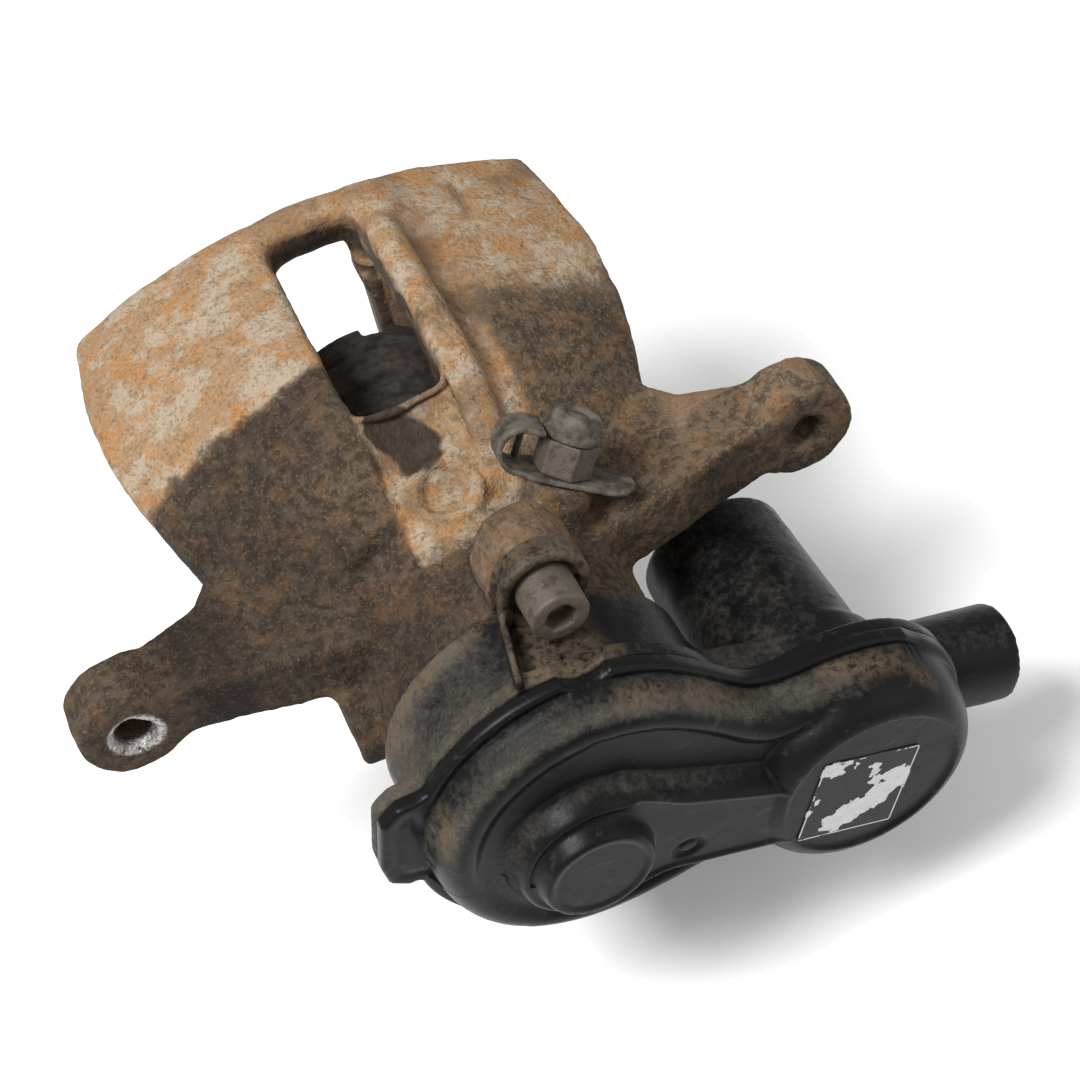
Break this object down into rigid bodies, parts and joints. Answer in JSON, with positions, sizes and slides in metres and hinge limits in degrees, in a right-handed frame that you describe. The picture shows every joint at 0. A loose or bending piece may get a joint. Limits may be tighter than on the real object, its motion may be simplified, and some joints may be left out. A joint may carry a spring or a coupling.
{
  "type": "brake caliper",
  "caption": "Floating rear disc brake caliper: iron housing with windowed bridge, two fingers and guide-bolt ears, one piston, and a bolt-on electric parking-brake actuator",
  "frame": {"origin": "midway between the two guide-bolt holes, on the inboard faces of the ears", "axes": "+X from ear to ear, +Y from the actuator towards the fingers (outboard), +Z radially outward from the wheel axle"},
  "size_m": [0.1914, 0.162, 0.1005],
  "materials": {
    "cast_iron_rusty": "sand-cast ductile iron, light rust, oily dirt near the actuator",
    "piston_steel": "dull plated steel",
    "rubber_black": "EPDM rubber",
    "rubber_grey": "weathered grey-tan rubber",
    "steel_screw": "dull plated steel, slightly rusty",
    "steel_bright": "ground steel",
    "plastic_black": "glass-filled nylon, dusty",
    "label_worn": "worn blank label",
    "nylon_gear": "natural acetal",
    "copper": "copper wire and bronze",
    "magnet": "ferrite",
    "contact_brass": "tinned brass"
  },
  "bodies": {
    "housing": {"caliper_housing": "cast_iron_rusty", "piston_seal": "rubber_black", "dust_boot": "rubber_black", "cap_strap": "rubber_grey", "thrust_washer": "steel_bright", "thrust_bearing": "steel_bright", "spindle_o_ring": "rubber_black", "actuator_housing": "plastic_black", "actuator_cover": "plastic_black", "cover_label": "label_worn", "actuator_screws": "steel_screw", "actuator_o_ring": "rubber_black", "toothed_belt": "rubber_black", "ring_gear": "nylon_gear", "gear_pin": "steel_bright", "motor_can": "steel_bright", "motor_end_bell": "plastic_black", "motor_magnets": "magnet", "motor_bushes": "contact_brass", "motor_brushes": "magnet", "connector_terminals": "contact_brass"},
    "piston_body": {"piston": "piston_steel"},
    "bleed_screw_body": {"bleed_screw": "steel_screw"},
    "bleed_cap_body": {"bleed_cap": "rubber_grey"},
    "rotor": {"motor_shaft": "steel_bright", "armature_core": "steel_bright", "armature_windings": "copper", "commutator": "copper", "motor_pinion": "steel_bright"},
    "pulley": {"belt_pulley": "nylon_gear"},
    "carrier_one": {"first_carrier": "nylon_gear", "first_planet_pins": "steel_bright"},
    "output": {"output_carrier": "steel_bright", "second_planet_pins": "steel_bright", "spindle": "steel_bright", "spindle_circlip": "steel_bright"},
    "nut": {"spindle_nut": "steel_bright"},
    "first_planet_body_1": {"first_planet_1": "nylon_gear"},
    "second_planet_body_1": {"second_planet_1": "nylon_gear"},
    "first_planet_body_2": {"first_planet_2": "nylon_gear"},
    "second_planet_body_2": {"second_planet_2": "nylon_gear"},
    "first_planet_body_3": {"first_planet_3": "nylon_gear"},
    "second_planet_body_3": {"second_planet_3": "nylon_gear"}
  },
  "joints": [
    {"name": "piston_slide", "type": "slide", "parent": "housing", "child": "piston_body", "axis": [0, 1, 0], "range_m": [-0.036, 0.001], "deforming": ["dust_boot"]},
    {"name": "bleed_screw_turn", "type": "hinge", "parent": "housing", "child": "bleed_screw_body", "pos_m": [0.022, 0.001, 0.0188], "axis": [0.5578, 0.2402, 0.7944], "range_deg": [0, 360]},
    {"name": "bleed_cap_pull", "type": "slide", "parent": "housing", "child": "bleed_cap_body", "axis": [0.5578, 0.2402, 0.7944], "range_m": [0, 0.012]},
    {"name": "spindle_spin", "type": "hinge", "parent": "housing", "child": "output", "pos_m": [0, 0, -0.014], "axis": [0, -1, 0], "range_deg": [0, 720]},
    {"name": "motor_spin", "type": "hinge", "parent": "housing", "child": "rotor", "pos_m": [0.054, -0.02, -0.034], "axis": [0, -1, 0], "range_deg": [0, 105841]},
    {"name": "pulley_spin", "type": "hinge", "parent": "housing", "child": "pulley", "pos_m": [0, -0.05, -0.014], "axis": [0, -1, 0], "range_deg": [0, 35281]},
    {"name": "carrier_one_spin", "type": "hinge", "parent": "housing", "child": "carrier_one", "pos_m": [0, -0.04, -0.014], "axis": [0, -1, 0], "range_deg": [0, 5041]},
    {"name": "nut_slide", "type": "slide", "parent": "housing", "child": "nut", "axis": [0, 1, 0], "range_m": [0, 0.00601]},
    {"name": "first_planet_spin_1", "type": "hinge", "parent": "carrier_one", "child": "first_planet_body_1", "pos_m": [0, -0.0458, 0], "axis": [0, -1, 0], "range_deg": [-12097, 0]},
    {"name": "first_planet_spin_2", "type": "hinge", "parent": "carrier_one", "child": "first_planet_body_2", "pos_m": [-0.01212, -0.0458, -0.021], "axis": [0, -1, 0], "range_deg": [-12097, 0]},
    {"name": "first_planet_spin_3", "type": "hinge", "parent": "carrier_one", "child": "first_planet_body_3", "pos_m": [0.01212, -0.0458, -0.021], "axis": [0, -1, 0], "range_deg": [-12097, 0]},
    {"name": "second_planet_spin_1", "type": "hinge", "parent": "output", "child": "second_planet_body_1", "pos_m": [0, -0.0373, 0], "axis": [0, -1, 0], "range_deg": [-1729, 0]},
    {"name": "second_planet_spin_2", "type": "hinge", "parent": "output", "child": "second_planet_body_2", "pos_m": [-0.01212, -0.0373, -0.021], "axis": [0, -1, 0], "range_deg": [-1729, 0]},
    {"name": "second_planet_spin_3", "type": "hinge", "parent": "output", "child": "second_planet_body_3", "pos_m": [0.01212, -0.0373, -0.021], "axis": [0, -1, 0], "range_deg": [-1729, 0]}
  ],
  "couplings": [
    {"joint": "motor_spin", "follows": "spindle_spin", "ratio": 147},
    {"joint": "pulley_spin", "follows": "spindle_spin", "ratio": 49},
    {"joint": "carrier_one_spin", "follows": "spindle_spin", "ratio": 7},
    {"joint": "nut_slide", "follows": "spindle_spin", "m_per_rad": 0.00047746},
    {"joint": "first_planet_spin_1", "follows": "spindle_spin", "ratio": -16.8},
    {"joint": "first_planet_spin_2", "follows": "spindle_spin", "ratio": -16.8},
    {"joint": "first_planet_spin_3", "follows": "spindle_spin", "ratio": -16.8},
    {"joint": "second_planet_spin_1", "follows": "spindle_spin", "ratio": -2.4},
    {"joint": "second_planet_spin_2", "follows": "spindle_spin", "ratio": -2.4},
    {"joint": "second_planet_spin_3", "follows": "spindle_spin", "ratio": -2.4}
  ]
}
